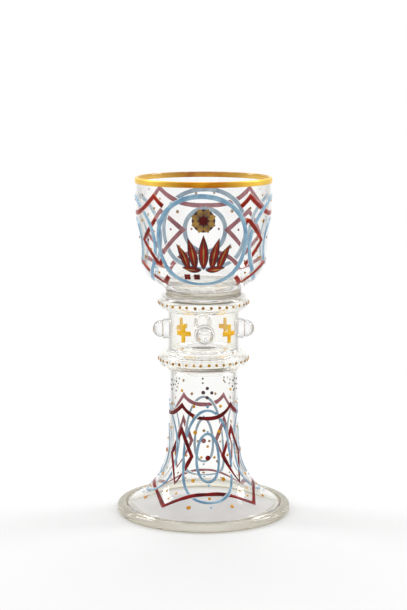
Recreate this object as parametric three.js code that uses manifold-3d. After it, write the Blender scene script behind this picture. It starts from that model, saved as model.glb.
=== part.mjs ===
// An enamelled glass goblet: blown bowl, hollow collared stem with prunts, trumpet foot with a folded rim.
// Millimetres, +Z up. The origin is the centre of the ring that the foot stands on.
import * as THREE from 'three';
import { mergeVertices } from 'three/addons/utils/BufferGeometryUtils.js';
import Module from 'manifold-3d';

const wasm = await Module();
wasm.setup();

// Lengths of the pieces, from the foot up
const footLength = 84.9;
const waferThickness = 1.6;
const lowerNeckLength = 1.1;
const lowerCollarFall = 5.0;
const lowerCollarRise = 4.9;
const collarNeckLength = 0.8;
const drumLength = 22.3;
const upperCollarFall = 4.6;
const upperCollarRise = 5.7;
const mereseSeat = 1.0;
const mereseHeight = 7.6;
const bowlLength = 65.4;

// Bowl
const lipRadius = 40;
const bowlWall = 1.8;
const bowlFloor = 3.0;
const shoulderRise = 9.8;
const shoulderInset = 4.4;
const shoulderRound = 13;
const brimDrop = 15.5;
const brimRound = 180;

// Stem
const drumRadius = 21.2;
const drumWall = 1.8;
const collarBulge = 5.5;
const collarWall = 1.7;
const mereseOverhang = 1.2;
const bowlFootOverhang = 0.2;
const diaphragmThickness = 1.2;
const diaphragmBead = 2.4;
const diaphragmHole = 9.5;
const waferOverhang = 0.4;

// Foot
const neckInset = 1.2;
const flareLength = 12.35;
const footWall = 2.0;
const plateEdgeHeight = 5.0;
const rimRadius = 51.75;
const rimWidth = 5.15;
const rimHeight = 5.4;

// Prunts and crosses on the drum
const pruntCount = 4;
const pruntRise = 0.75;
const pruntPadRadius = 5.85;
const pruntPadThickness = 3.0;
const pruntBossRadius = 5.0;
const pruntBossLength = 5.8;
const crossHeight = 11;
const crossWidth = 10;
const crossArm = 2.9;
const crossThickness = 0.5;

// The first prunt's angle, and each cross's angle and drop, set by eye: degrees from the front to the right
const pruntTurn = 1.5;
const crossTurns = [-33.6, 45.1, 138.7, 223];
const crossDrops = [0, 0.6, 1.5, 1.5];

// Gilding and enamel
const giltHeight = 3.5;
const giltThickness = 0.3;
const enamelThickness = 0.3;

// Straps on the bowl. Angles are in degrees, turned from the front to the right, and lengths follow the skin.
// Four diagonals, set by eye, part the bowl into quarters: front, right, back and left
const bowlDiagonals = [41.8, 133.5, 223.5, 315];
const bowlStrap = 2.8;
const ringShare = 0.945;
const ringTopDrops = [7.0, 10.1, 9.6, 10.1];
const ringBottomRises = [10.8, 8.0, 10.8, 8.0];
const smallRingRadius = 13.0;
const lozengeHalfLength = 12.4;
const lozengeHalfAngles = [20, 23.3, 23.3, 19.5];
const lozengeDrop = 0.8;
const festoonDrop = 7.8;
const festoonSag = 11.8;
const archRise = 9.8;
const archHeight = 13.0;

// Straps on the foot, with drops measured along its skin from the neck down
const footDiagonals = [51.7, 138.5, 220.5, 321.5];
const footStrap = 2.0;
const loopShare = 0.86;
const loopTopDrop = 20.2;
const loopLength = 55.2;
const smallLoopShare = 0.384;
const smallLoopDrop = 33.9;
const smallLoopLength = 28.4;
const footLozengeDrop = 32.2;
const footLozengeLength = 30.5;
const footLozengeHalfAngle = 20;
const footFestoonDrop = 17.8;
const footFestoonSag = 7.1;
const footArchDrop = 80.1;
const footArchHeight = 10.4;

// What touching pieces keep between them
const seatGap = 0.3;

const roundSides = 32;
const sideNames = ['front', 'right', 'back', 'left'];
const degree = Math.PI / 180;

const clearGlass = { color: 0xeef2ee, roughness: 0.03, metalness: 0 };
const rimGlass = { color: 0xdcdcc0, roughness: 0.03, metalness: 0 };
const gilding = { color: 0xe0921c, roughness: 0.25, metalness: 1 };
const amberEnamel = { color: 0xf2b93c, roughness: 0.35, metalness: 0 };
const blueEnamel = { color: 0x82afd0, roughness: 0.3, metalness: 0 };
const redEnamel = { color: 0x96201a, roughness: 0.3, metalness: 0 };

// Where the pieces stand on each other, above the table
const lowerCollarBottom = footLength + waferThickness;
const lowerCollarHeight = lowerCollarBottom + lowerNeckLength + lowerCollarFall;
const drumBottom = lowerCollarHeight + lowerCollarRise + collarNeckLength;
const drumTop = drumBottom + drumLength;
const pruntHeight = (drumBottom + drumTop) / 2 + pruntRise;
const upperCollarHeight = drumTop + collarNeckLength + upperCollarFall;
const mereseBottom = upperCollarHeight + mereseSeat;
const bowlFootHeight = mereseBottom + mereseHeight;
const lipHeight = bowlFootHeight + bowlLength;

// Radii that follow the drum
const neckRadius = drumRadius - neckInset;
const mereseRadius = drumRadius + mereseOverhang;
const bowlFootRadius = mereseRadius + bowlFootOverhang;

const goblet = new THREE.Group();

function add(name, geometry, finish, parent = goblet) {
  const mesh = new THREE.Mesh(geometry, new THREE.MeshStandardMaterial(finish));
  mesh.name = name;
  parent.add(mesh);
  return mesh;
}

// A closed outline of [radius, height] points, anticlockwise, turned about the Z axis
function revolve(outline, sides = roundSides) {
  const points = [...outline, outline[0]].map(([radius, height]) => new THREE.Vector2(radius, height));
  return new THREE.LatheGeometry(points, sides).rotateX(Math.PI / 2);
}

// A line through [radius, height, round] corners, each rounded by its third number
function roundedLine(corners, turnStep = 12 * degree) {
  const line = [];
  corners.forEach(([x, y, round = 0], i) => {
    const before = corners[i - 1];
    const after = corners[i + 1];
    if (!before || !after || round === 0) {
      line.push([x, y]);
      return;
    }
    const corner = new THREE.Vector2(x, y);
    const back = new THREE.Vector2(before[0] - x, before[1] - y).normalize();
    const ahead = new THREE.Vector2(after[0] - x, after[1] - y).normalize();
    const half = Math.acos(THREE.MathUtils.clamp(back.dot(ahead), -1, 1)) / 2;
    const centre = back.clone().add(ahead).normalize().multiplyScalar(round / Math.sin(half)).add(corner);
    const from = back.clone().multiplyScalar(round / Math.tan(half)).add(corner).sub(centre);
    const turn = (Math.PI - 2 * half) * Math.sign(ahead.cross(back));
    const steps = Math.max(2, Math.ceil(Math.abs(turn) / turnStep));
    for (let k = 0; k <= steps; k += 1) {
      const point = from.clone().rotateAround(new THREE.Vector2(), (turn * k) / steps).add(centre);
      line.push([point.x, point.y]);
    }
  });
  return line;
}

// The unit normal of a [radius, height] line at each point, to the right of its direction
function normalsOf(line) {
  return line.map((point, i) => {
    const before = line[Math.max(i - 1, 0)];
    const after = line[Math.min(i + 1, line.length - 1)];
    return new THREE.Vector2(after[1] - before[1], before[0] - after[0]).normalize();
  });
}

// The same line moved out along its normals, or in where the distance is negative
function offsetLine(line, distance) {
  const normals = normalsOf(line);
  return line.map(([radius, height], i) => [
    radius + normals[i].x * distance,
    height + normals[i].y * distance,
  ]);
}

// A wall between an outer line that climbs and the same line moved in
function wallOutline(outer, wall) {
  const inner = offsetLine(outer, -wall);
  inner[0][1] = outer[0][1];
  inner[inner.length - 1][1] = outer[outer.length - 1][1];
  return [...outer, ...inner.reverse()];
}

// Places a geometry that was made along +Z so that it points out of the stem at an angle from the front
function aimOut(geometry, angle, height) {
  geometry.rotateX(Math.PI / 2).rotateZ(angle).translate(0, 0, height);
  return geometry;
}

function toSolid(geometry) {
  const bare = geometry.index ? geometry.toNonIndexed() : geometry.clone();
  bare.deleteAttribute('normal');
  bare.deleteAttribute('uv');
  const merged = mergeVertices(bare, 1e-4);
  return new wasm.Manifold(new wasm.Mesh({
    numProp: 3,
    vertProperties: new Float32Array(merged.attributes.position.array),
    triVerts: new Uint32Array(merged.index.array),
  }));
}

function toGeometry(solid) {
  const mesh = solid.getMesh();
  const geometry = new THREE.BufferGeometry();
  geometry.setAttribute('position', new THREE.BufferAttribute(mesh.vertProperties, 3));
  geometry.setIndex(new THREE.BufferAttribute(mesh.triVerts, 1));
  geometry.computeVertexNormals();
  return geometry;
}

// Bowl: the outer wall climbs from its foot over a rounded shoulder to the brim
const bowlOuter = roundedLine([
  [bowlFootRadius, bowlFootHeight],
  [lipRadius - shoulderInset, bowlFootHeight + shoulderRise, shoulderRound],
  [lipRadius, lipHeight - brimDrop, brimRound],
  [lipRadius, lipHeight - bowlWall / 2],
], 8 * degree);
const bowlInner = offsetLine(bowlOuter, -bowlWall);
const lipCentre = [lipRadius - bowlWall / 2, lipHeight - bowlWall / 2];
const lipRound = [45, 90, 135].map((turn) => [
  lipCentre[0] + (bowlWall / 2) * Math.cos(turn * degree),
  lipCentre[1] + (bowlWall / 2) * Math.sin(turn * degree),
]);
const bowlInside = bowlInner.filter(([, height]) => height > bowlFootHeight + bowlFloor + 0.5);
const bowlOutline = [
  [0, bowlFootHeight],
  ...bowlOuter,
  ...lipRound,
  ...bowlInside.reverse(),
  [bowlFootRadius - bowlFloor, bowlFootHeight + bowlFloor],
  [0, bowlFootHeight + bowlFloor - 0.6],
];
add('bowl', revolve(bowlOutline), clearGlass);

// Gilt band round the outside of the lip
const giltInner = offsetLine([
  [lipRadius, lipHeight - bowlWall / 2 - giltHeight],
  [lipRadius, lipHeight - bowlWall / 2],
], seatGap);
add('gilt_lip_band', revolve(wallOutline(offsetLine(giltInner, giltThickness), giltThickness)), gilding);

// Merese: a thick solid wafer, let into the mouth of the upper collar
add('merese', revolve(roundedLine([
  [0, mereseBottom],
  [mereseRadius, mereseBottom, 2.2],
  [mereseRadius, bowlFootHeight, 0.8],
  [0, bowlFootHeight],
], 30 * degree)), clearGlass);

// Half an ellipse below the widest height of a collar and part of one above it, up to a given radius
function collarArc(centre, rise, fall, topRadius, steps) {
  const last = Math.acos((topRadius - drumRadius) / collarBulge);
  const first = -85 * degree;
  return Array.from({ length: steps + 1 }, (_, k) => {
    const turn = THREE.MathUtils.lerp(first, last, k / steps);
    const reach = turn < 0 ? fall : rise;
    return [drumRadius + collarBulge * Math.cos(turn), centre + reach * Math.sin(turn)];
  });
}

// Upper collar: a hollow ring bulge, open above round the merese
const mouthRadius = mereseRadius + seatGap;
const upperCollarOuter = [
  [drumRadius, drumTop],
  ...collarArc(upperCollarHeight, upperCollarRise, upperCollarFall, mouthRadius + collarWall, 7),
];
const upperCollarOutline = wallOutline(upperCollarOuter, collarWall);
upperCollarOutline[upperCollarOuter.length][0] = mouthRadius;
add('upper_collar', revolve(upperCollarOutline), clearGlass);

// Drum: the plain cylinder between the collars
add('stem_drum', revolve(wallOutline([
  [drumRadius, drumBottom],
  [drumRadius, drumTop],
], drumWall)), clearGlass);

// Lower collar: a hollow ring bulge with a neck at each end
const lowerCollarOuter = [
  [drumRadius, lowerCollarBottom],
  ...collarArc(lowerCollarHeight, lowerCollarRise, lowerCollarFall, drumRadius + 0.4, 8),
  [drumRadius, drumBottom],
];
add('lower_collar', revolve(wallOutline(lowerCollarOuter, collarWall)), clearGlass);

// Diaphragm: where the bubble was nipped in under the drum, with a beaded hole in its middle
const diaphragmRadius = drumRadius - drumWall - seatGap;
const diaphragmTop = drumBottom + diaphragmThickness;
add('stem_diaphragm', revolve([
  [diaphragmRadius, drumBottom],
  [diaphragmRadius, diaphragmTop],
  [diaphragmHole + diaphragmBead, diaphragmTop],
  [diaphragmHole + diaphragmBead / 2, diaphragmTop + (diaphragmBead - diaphragmThickness) / 2],
  [diaphragmHole, diaphragmTop],
  [diaphragmHole, drumBottom],
  [diaphragmHole + diaphragmBead / 2, drumBottom - (diaphragmBead - diaphragmThickness) / 2],
  [diaphragmHole + diaphragmBead, drumBottom],
]), clearGlass);

// Joint wafer: a thin solid disc between the hollow stem and the foot
const waferRadius = neckRadius + waferOverhang;
add('joint_wafer', revolve(roundedLine([
  [0, footLength],
  [waferRadius, footLength, waferThickness * 0.4],
  [waferRadius, lowerCollarBottom, waferThickness * 0.4],
  [0, lowerCollarBottom],
], 90 * degree)), clearGlass);

// Trumpet foot: the radius grows by an exponential curve, with stations at equal turns of its slope
const plateEdgeRadius = rimRadius - rimWidth - seatGap;
const flareReach = (plateEdgeRadius - neckRadius) * Math.exp(plateEdgeHeight / flareLength);
const slopeAt = (height) => Math.atan2(flareLength, flareReach * Math.exp(-height / flareLength));
const flareStations = 11;
const flareOuter = Array.from({ length: flareStations + 1 }, (_, k) => {
  const slope = THREE.MathUtils.lerp(slopeAt(plateEdgeHeight), slopeAt(footLength), k / flareStations);
  const height = flareLength * Math.log((flareReach / flareLength) * Math.tan(slope));
  return [neckRadius + flareReach * Math.exp(-height / flareLength), height];
});
const footInner = offsetLine(flareOuter, -footWall);
footInner[0][0] = plateEdgeRadius;
footInner[flareStations][1] = footLength;
add('trumpet_foot', revolve([...flareOuter, ...footInner.reverse()]), clearGlass);

// Foot rim: the folded edge, flat where it stands on the table
add('foot_rim', revolve(roundedLine([
  [rimRadius - rimWidth, rimHeight / 2],
  [rimRadius - rimWidth, 0, 1.4],
  [rimRadius, 0, 1.9],
  [rimRadius, rimHeight, 2.5],
  [rimRadius - rimWidth, rimHeight, 1.8],
], 30 * degree)), rimGlass);

// Prunts: a pad pressed on to the drum, hollowed to its curve, and a domed boss on the pad
const padFace = drumRadius + pruntPadThickness;
const drumSkin = toSolid(new THREE.CylinderGeometry(
  drumRadius + seatGap, drumRadius + seatGap, 4 * pruntPadRadius, roundSides * 2,
).rotateX(Math.PI / 2).translate(0, 0, pruntHeight));
const pruntSides = 14;
for (let i = 0; i < pruntCount; i += 1) {
  const angle = pruntTurn * degree + (i * 2 * Math.PI) / pruntCount;
  const pad = revolve(roundedLine([
    [0, drumRadius - pruntPadThickness],
    [pruntPadRadius, drumRadius - pruntPadThickness],
    [pruntPadRadius, padFace, pruntPadThickness * 0.4],
    [0, padFace],
  ], 30 * degree), pruntSides);
  add(`prunt_pad_${sideNames[i]}`, toGeometry(
    toSolid(aimOut(pad, angle, pruntHeight)).subtract(drumSkin),
  ), clearGlass);
  const bossFoot = padFace + seatGap;
  const bossEnd = padFace + pruntBossLength;
  const boss = revolve(roundedLine([
    [0, bossFoot],
    [pruntBossRadius, bossFoot, 0.8],
    [pruntBossRadius, bossEnd, pruntBossRadius * 0.75],
    [0, bossEnd],
  ], 30 * degree), pruntSides);
  add(`prunt_boss_${sideNames[i]}`, aimOut(boss, angle, pruntHeight), clearGlass);
}

// Crosses: raised enamel that follows the drum, one about midway between each two prunts
const crossOutline = new THREE.Shape([
  [crossArm, crossHeight], [crossArm, crossArm], [crossWidth, crossArm], [crossWidth, -crossArm],
  [crossArm, -crossArm], [crossArm, -crossHeight], [-crossArm, -crossHeight], [-crossArm, -crossArm],
  [-crossWidth, -crossArm], [-crossWidth, crossArm], [-crossArm, crossArm], [-crossArm, crossHeight],
].reverse().map(([x, y]) => new THREE.Vector2(x / 2, y / 2)));
const enamelSleeve = toSolid(revolve(wallOutline([
  [drumRadius + seatGap + crossThickness, pruntHeight - crossHeight],
  [drumRadius + seatGap + crossThickness, pruntHeight + crossHeight],
], crossThickness), roundSides * 2));
crossTurns.forEach((turn, i) => {
  const prism = new THREE.ExtrudeGeometry(crossOutline, { depth: drumRadius * 2, bevelEnabled: false });
  add(`enamel_cross_${i + 1}`, toGeometry(
    toSolid(aimOut(prism, turn * degree, pruntHeight - crossDrops[i])).intersect(enamelSleeve),
  ), amberEnamel);
});

// The outside of a turned piece as a skin for enamel. A place on it is [turn, run]: the angle from the
// front in radians, and the distance along the outline from its lower end in millimetres
function skinOf(line) {
  const normals = normalsOf(line);
  const runs = [0];
  for (let i = 1; i < line.length; i += 1) {
    runs.push(runs[i - 1] + Math.hypot(line[i][0] - line[i - 1][0], line[i][1] - line[i - 1][1]));
  }
  const at = (run) => {
    const i = THREE.MathUtils.clamp(runs.findIndex((end) => end >= run), 1, line.length - 1);
    const share = (run - runs[i - 1]) / (runs[i] - runs[i - 1]);
    return {
      radius: THREE.MathUtils.lerp(line[i - 1][0], line[i][0], share),
      height: THREE.MathUtils.lerp(line[i - 1][1], line[i][1], share),
      normal: normals[i - 1].clone().lerp(normals[i], share).normalize(),
    };
  };
  return { at, length: runs[runs.length - 1] };
}

// The turn from one place to another, the short way round
function turnBetween(a, b) {
  return Math.atan2(Math.sin(b[0] - a[0]), Math.cos(b[0] - a[0]));
}

// The place that lies a share of the way from one place to another
function placeBetween(a, b, share) {
  return [a[0] + turnBetween(a, b) * share, THREE.MathUtils.lerp(a[1], b[1], share)];
}

// How far apart two places are on a skin
function distanceOn(skin, a, b) {
  return Math.hypot(turnBetween(a, b) * skin.at(a[1]).radius, a[1] - b[1]);
}

// Splits each step of a path into a number of equal ones
function splitPath(path, closed, parts) {
  const ends = closed ? [...path, path[0]] : path;
  const split = ends.slice(0, -1).flatMap((place, i) => Array.from(
    { length: parts },
    (_, k) => placeBetween(place, ends[i + 1], k / parts),
  ));
  return closed ? split : [...split, path[path.length - 1]];
}

// The stretch of a path that lies clear of a ring, for a path that starts and ends within the ring
function clearOf(path, isClear) {
  const first = path.findIndex(isClear);
  const last = path.findLastIndex(isClear);
  const edge = (inside, outside) => splitPath([inside, outside], false, 16).find(isClear);
  const kept = path.slice(first, last + 1);
  return [edge(path[first - 1], path[first]), ...kept, edge(path[last + 1], path[last])];
}

// How high each place of a path lies off the glass: a strap hops over the straps that it crosses
function liftsOver(skin, path, closed, crossed, reach) {
  const parts = 6;
  const lower = crossed.flatMap((other) => splitPath(other, true, 4));
  const near = splitPath(path, closed, parts)
    .map((place) => lower.some((other) => distanceOn(skin, place, other) < reach));
  return path.map((place, i) => {
    const steps = Array.from({ length: 2 * parts + 1 }, (_, k) => (i - 1) * parts + k);
    const hops = steps.some((k) => near[closed ? (k + near.length) % near.length : k]);
    return hops ? 2 * seatGap + enamelThickness : seatGap;
  });
}

// A flat strap of enamel along a path on a skin, mitred at its corners
function strap(skin, path, width, closed, lifts = path.map(() => seatGap)) {
  const count = path.length;
  const sharpest = 0.4;
  const positions = [];
  path.forEach((place, i) => {
    const { radius } = skin.at(place[1]);
    const sideOf = (a, b) => new THREE.Vector2(a[1] - b[1], turnBetween(a, b) * radius).normalize();
    const before = path[closed ? (i + count - 1) % count : i - 1];
    const after = path[closed ? (i + 1) % count : i + 1];
    const sides = [before && sideOf(before, place), after && sideOf(place, after)].filter(Boolean);
    const across = sides[0].clone().add(sides[sides.length - 1]).normalize();
    across.multiplyScalar(width / 2 / Math.max(across.dot(sides[0]), sharpest));
    [[-1, 0], [1, 0], [1, enamelThickness], [-1, enamelThickness]].forEach(([side, depth]) => {
      const spot = skin.at(place[1] + side * across.y);
      const angle = place[0] + (side * across.x) / radius;
      const reach = spot.radius + spot.normal.x * (lifts[i] + depth);
      positions.push(reach * Math.sin(angle), -reach * Math.cos(angle));
      positions.push(spot.height + spot.normal.y * (lifts[i] + depth));
    });
  });
  const indices = [];
  const quad = (a, b, c, d) => indices.push(a, c, b, a, d, c);
  for (let i = 0; i < (closed ? count : count - 1); i += 1) {
    const from = 4 * i;
    const to = 4 * ((i + 1) % count);
    for (let k = 0; k < 4; k += 1) {
      const next = (k + 1) % 4;
      quad(from + k, to + k, to + next, from + next);
    }
  }
  if (!closed) {
    const end = 4 * (count - 1);
    quad(0, 1, 2, 3);
    quad(end + 3, end + 2, end + 1, end);
  }
  const geometry = new THREE.BufferGeometry();
  geometry.setAttribute('position', new THREE.Float32BufferAttribute(positions, 3));
  geometry.setIndex(indices);
  geometry.computeVertexNormals();
  return geometry;
}

// A closed loop round a place, evenly stepped
function loopPath(turn, run, halfTurn, halfRun, steps) {
  return Array.from({ length: steps }, (_, k) => {
    const angle = (2 * Math.PI * k) / steps;
    return [turn + halfTurn * Math.sin(angle), run + halfRun * Math.cos(angle)];
  });
}

// A closed lozenge round a place, from its corner at turn + halfTurn
function lozengePath(turn, run, halfTurn, halfRun, steps) {
  return splitPath([
    [turn + halfTurn, run], [turn, run + halfRun], [turn - halfTurn, run], [turn, run - halfRun],
  ], true, steps);
}

// The quarters between four diagonals: where each one starts and ends, its middle and its half width
function quartersOf(diagonals) {
  return diagonals.map((diagonal, i) => {
    const from = (i === 0 ? diagonals[3] - 360 : diagonals[i - 1]) * degree;
    const to = diagonal * degree;
    return { from, to, middle: (from + to) / 2, half: (to - from) / 2 };
  });
}

// A closed row of festoons or arches with their points at the diagonals, from the middle of the front one
function festoonPath(quarters, pointRun, middleRun, steps) {
  return Array.from({ length: 4 * steps }, (_, k) => {
    const place = k / steps + 0.5;
    const share = place % 1;
    const { from, to } = quarters[Math.floor(place) % 4];
    return [
      THREE.MathUtils.lerp(from, to, share),
      THREE.MathUtils.lerp(pointRun, middleRun, Math.sin(Math.PI * share)),
    ];
  });
}

// Blue rings on the bowl: one in each quarter, and a small one within all but the front one
const bowlSkin = skinOf(bowlOuter);
const bowlQuarters = quartersOf(bowlDiagonals);
const rings = bowlQuarters.map(({ middle, half }, i) => {
  const top = bowlSkin.length - ringTopDrops[i];
  const bottom = ringBottomRises[i];
  return { middle, run: (top + bottom) / 2, halfTurn: half * ringShare, halfRun: (top - bottom) / 2 };
});
const bowlBlue = [];
rings.forEach((ring, i) => {
  const path = loopPath(ring.middle, ring.run, ring.halfTurn, ring.halfRun, 32);
  add(`bowl_ring_${sideNames[i]}`, strap(bowlSkin, path, bowlStrap, true), blueEnamel);
  bowlBlue.push(path);
});
rings.forEach((ring, i) => {
  if (i > 0) {
    const halfTurn = smallRingRadius / bowlSkin.at(ring.run).radius;
    const path = loopPath(ring.middle, ring.run, halfTurn, smallRingRadius, 14);
    add(`bowl_small_ring_${sideNames[i]}`, strap(bowlSkin, path, bowlStrap, true), blueEnamel);
    bowlBlue.push(path);
  }
});

// Red straps on the bowl: they hop over the blue ones, and stop short of the front ring
function bowlStrapOver(path, closed) {
  const lifts = liftsOver(bowlSkin, path, closed, bowlBlue, bowlStrap + 2 * seatGap);
  return strap(bowlSkin, path, bowlStrap, closed, lifts);
}
const ringClearance = bowlStrap + seatGap;
const isClearOfFront = ([turn, run]) => Math.hypot(
  turnBetween([rings[0].middle], [turn]) / (rings[0].halfTurn + ringClearance / bowlSkin.at(run).radius),
  (run - rings[0].run) / (rings[0].halfRun + ringClearance),
) > 1;
const festoonTop = bowlSkin.length - festoonDrop;
add('bowl_festoons', bowlStrapOver(clearOf(
  festoonPath(bowlQuarters, festoonTop, festoonTop - festoonSag, 8),
  isClearOfFront,
), false), redEnamel);
add('bowl_arches', bowlStrapOver(clearOf(
  festoonPath(bowlQuarters, archRise, archRise + archHeight, 12),
  isClearOfFront,
), false), redEnamel);
const lozengeRun = rings[0].run - lozengeDrop;
bowlDiagonals.forEach((diagonal, i) => {
  const towardsFront = diagonal < 180 ? -1 : 1;
  const halfTurn = towardsFront * lozengeHalfAngles[i] * degree;
  const lozenge = lozengePath(diagonal * degree, lozengeRun, halfTurn, lozengeHalfLength, 5);
  const isFront = Math.cos(diagonal * degree) > 0;
  const path = isFront ? clearOf([...lozenge, lozenge[0]], isClearOfFront) : lozenge;
  add(`bowl_lozenge_${i + 1}`, bowlStrapOver(path, !isFront), redEnamel);
});

// Blue loops on the foot: a large and a small one in each quarter
const footSkin = skinOf(flareOuter);
const footQuarters = quartersOf(footDiagonals);
const footRun = (drop) => footSkin.length - drop;
const footBlue = [];
footQuarters.forEach(({ middle, half }, i) => {
  const run = footRun(loopTopDrop + loopLength / 2);
  const smallRun = footRun(smallLoopDrop + smallLoopLength / 2);
  const loop = loopPath(middle, run, half * loopShare, loopLength / 2, 24);
  const smallLoop = loopPath(middle, smallRun, half * smallLoopShare, smallLoopLength / 2, 14);
  add(`foot_loop_${sideNames[i]}`, strap(footSkin, loop, footStrap, true), blueEnamel);
  add(`foot_small_loop_${sideNames[i]}`, strap(footSkin, smallLoop, footStrap, true), blueEnamel);
  footBlue.push(loop, smallLoop);
});

// Red straps on the foot
function footStrapOver(path) {
  const lifts = liftsOver(footSkin, path, true, footBlue, footStrap + 2 * seatGap);
  return strap(footSkin, path, footStrap, true, lifts);
}
add('foot_festoons', footStrapOver(festoonPath(
  footQuarters, footRun(footFestoonDrop), footRun(footFestoonDrop + footFestoonSag), 8,
)), redEnamel);
add('foot_arches', footStrapOver(festoonPath(
  footQuarters, footRun(footArchDrop), footRun(footArchDrop - footArchHeight), 8,
)), redEnamel);
footDiagonals.forEach((diagonal, i) => {
  add(`foot_lozenge_${i + 1}`, footStrapOver(lozengePath(
    diagonal * degree, footRun(footLozengeDrop + footLozengeLength / 2),
    footLozengeHalfAngle * degree, footLozengeLength / 2, 5,
  )), redEnamel);
});

export default goblet;
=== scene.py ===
import random
from math import acos, atan2, ceil, cos, degrees, dist, exp, hypot, log, pi, radians, sin, sqrt, tan

import bpy
import numpy as np
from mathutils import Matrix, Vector
from mathutils.geometry import delaunay_2d_cdt


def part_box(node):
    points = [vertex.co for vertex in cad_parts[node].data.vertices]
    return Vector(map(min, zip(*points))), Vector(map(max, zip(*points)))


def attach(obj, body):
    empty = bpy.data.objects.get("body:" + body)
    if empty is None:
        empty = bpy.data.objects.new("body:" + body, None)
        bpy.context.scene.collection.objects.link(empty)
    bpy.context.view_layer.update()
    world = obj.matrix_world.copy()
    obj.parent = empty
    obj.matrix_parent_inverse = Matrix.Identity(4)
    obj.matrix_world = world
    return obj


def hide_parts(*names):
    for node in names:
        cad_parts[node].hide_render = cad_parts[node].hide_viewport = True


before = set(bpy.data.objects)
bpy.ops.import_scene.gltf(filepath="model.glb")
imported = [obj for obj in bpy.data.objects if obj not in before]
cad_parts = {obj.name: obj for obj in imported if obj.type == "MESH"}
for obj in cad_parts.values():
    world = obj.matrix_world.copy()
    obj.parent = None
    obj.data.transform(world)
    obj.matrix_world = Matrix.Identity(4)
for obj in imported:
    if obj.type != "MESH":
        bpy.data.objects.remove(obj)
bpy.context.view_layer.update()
mm = 0.001  # the sizes below are in millimetres
sides = ["front", "right", "back", "left"]
quarter = pi / 2


def span(node):  # lowest and highest height of a node, and its outer radius
    low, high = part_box(node)
    return low.z / mm, high.z / mm, (high.x - low.x) / 2 / mm


_, rimTop, rimRadius = span("foot_rim")
footTop = span("trumpet_foot")[1]
waferBottom, waferTop, _ = span("joint_wafer")
lowerBottom = span("lower_collar")[0]
drumBottom, drumTop, drumRadius = span("stem_drum")
upperBottom, upperTop, _ = span("upper_collar")
mereseBottom, mereseTop, mereseRadius = span("merese")
bowlBottom, lipTop, lipRadius = span("bowl")
print("frame loaded:", len(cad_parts), "nodes")


# Small tools


def linear(red, green, blue):  # a screen colour, 0 to 255, in the renderer's own numbers
    def one(value):
        value /= 255
        return value / 12.92 if value <= 0.04045 else ((value + 0.055) / 1.055) ** 2.4

    return (one(red), one(green), one(blue))


def roundedLine(corners, turnStep=4):  # (radius, height, round) corners as a line of (radius, height)
    line = []
    for i, corner in enumerate(corners):
        rounding = corner[2] if len(corner) > 2 else 0
        if rounding == 0 or i in (0, len(corners) - 1):
            line.append(tuple(corner[:2]))
            continue
        here = Vector(corner[:2])
        back = (Vector(corners[i - 1][:2]) - here).normalized()
        ahead = (Vector(corners[i + 1][:2]) - here).normalized()
        half = back.angle(ahead) / 2
        centre = here + (back + ahead).normalized() * rounding / sin(half)
        start = here + back * rounding / tan(half) - centre
        turn = (pi - 2 * half) * (1 if ahead.cross(back) > 0 else -1)
        steps = max(2, ceil(abs(degrees(turn)) / turnStep))
        for k in range(steps + 1):
            c, s = cos(turn * k / steps), sin(turn * k / steps)
            line.append((centre.x + start.x * c - start.y * s, centre.y + start.x * s + start.y * c))
    return line


def normalsOf(line):  # unit normals of a line that climbs, pointing away from the axis
    points = np.array(line, float)
    along = np.gradient(points, axis=0)
    normals = np.stack([along[:, 1], -along[:, 0]], axis=1)
    return normals / np.linalg.norm(normals, axis=1)[:, None]


def offsetLine(line, distance):
    return [tuple(p) for p in np.array(line) + normalsOf(line) * distance]


def wallOutline(outer, wall):  # a wall between a line that climbs and the same line moved in
    inner = offsetLine(outer, -wall)
    inner[0] = (inner[0][0], outer[0][1])
    inner[-1] = (inner[-1][0], outer[-1][1])
    return outer + inner[::-1]


def placed(name, data):
    thing = bpy.data.objects.new(name, data)
    bpy.context.scene.collection.objects.link(thing)
    return thing


def newObject(name, vertices, faces, materials, kinds=None, sharp=40):
    mesh = bpy.data.meshes.new(name)
    mesh.from_pydata([tuple(v) for v in vertices], [], faces)
    for material in materials:
        mesh.materials.append(material)
    if kinds is not None:
        mesh.polygons.foreach_set("material_index", kinds)
    mesh.validate()
    mesh.shade_smooth()
    mesh.set_sharp_from_angle(angle=radians(sharp))
    mesh.update()
    return placed(name, mesh)


def finishPiece(thing, slot, *nodes):
    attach(thing, "root")
    if nodes:
        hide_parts(*nodes)


def turnedMesh(outline, segments):  # a closed anticlockwise outline of (radius, height), turned round the axis
    vertices, rings = [], []
    for radius, height in outline:
        count = 1 if radius < 1e-6 else segments
        rings.append(list(range(len(vertices), len(vertices) + count)))
        for k in range(count):
            angle = 2 * pi * k / segments
            vertices.append((radius * sin(angle), -radius * cos(angle), height))
    faces = []
    for low, high in zip(rings, rings[1:] + rings[:1]):
        for k in range(segments):
            n = (k + 1) % segments
            face = [low[k % len(low)], low[n % len(low)], high[n % len(high)], high[k % len(high)]]
            face = list(dict.fromkeys(face))
            if len(face) > 2:
                faces.append(face)
    return np.array(vertices), faces


def held(outline):  # a point close to each end of a long stretch, so that it stays flat up to a small rounding
    points = []
    for i, here in enumerate(outline):
        before, ahead, after = outline[i - 1], outline[(i + 1) % len(outline)], outline[(i + 2) % len(outline)]
        length = dist(here, ahead)
        points.append(here)
        for beside, share in ((dist(before, here), 0.04), (dist(ahead, after), 0.96)):
            if length > 3 * beside:
                points.append((here[0] + (ahead[0] - here[0]) * share, here[1] + (ahead[1] - here[1]) * share))
    return points


def faceKinds(vertices, faces, kindAt):  # each face's material, by the radius, height and angle of its middle
    middles = [vertices[face].mean(axis=0) for face in faces]
    return [int(kindAt(hypot(x, y), z, atan2(x, -y))) for x, y, z in middles]


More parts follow.
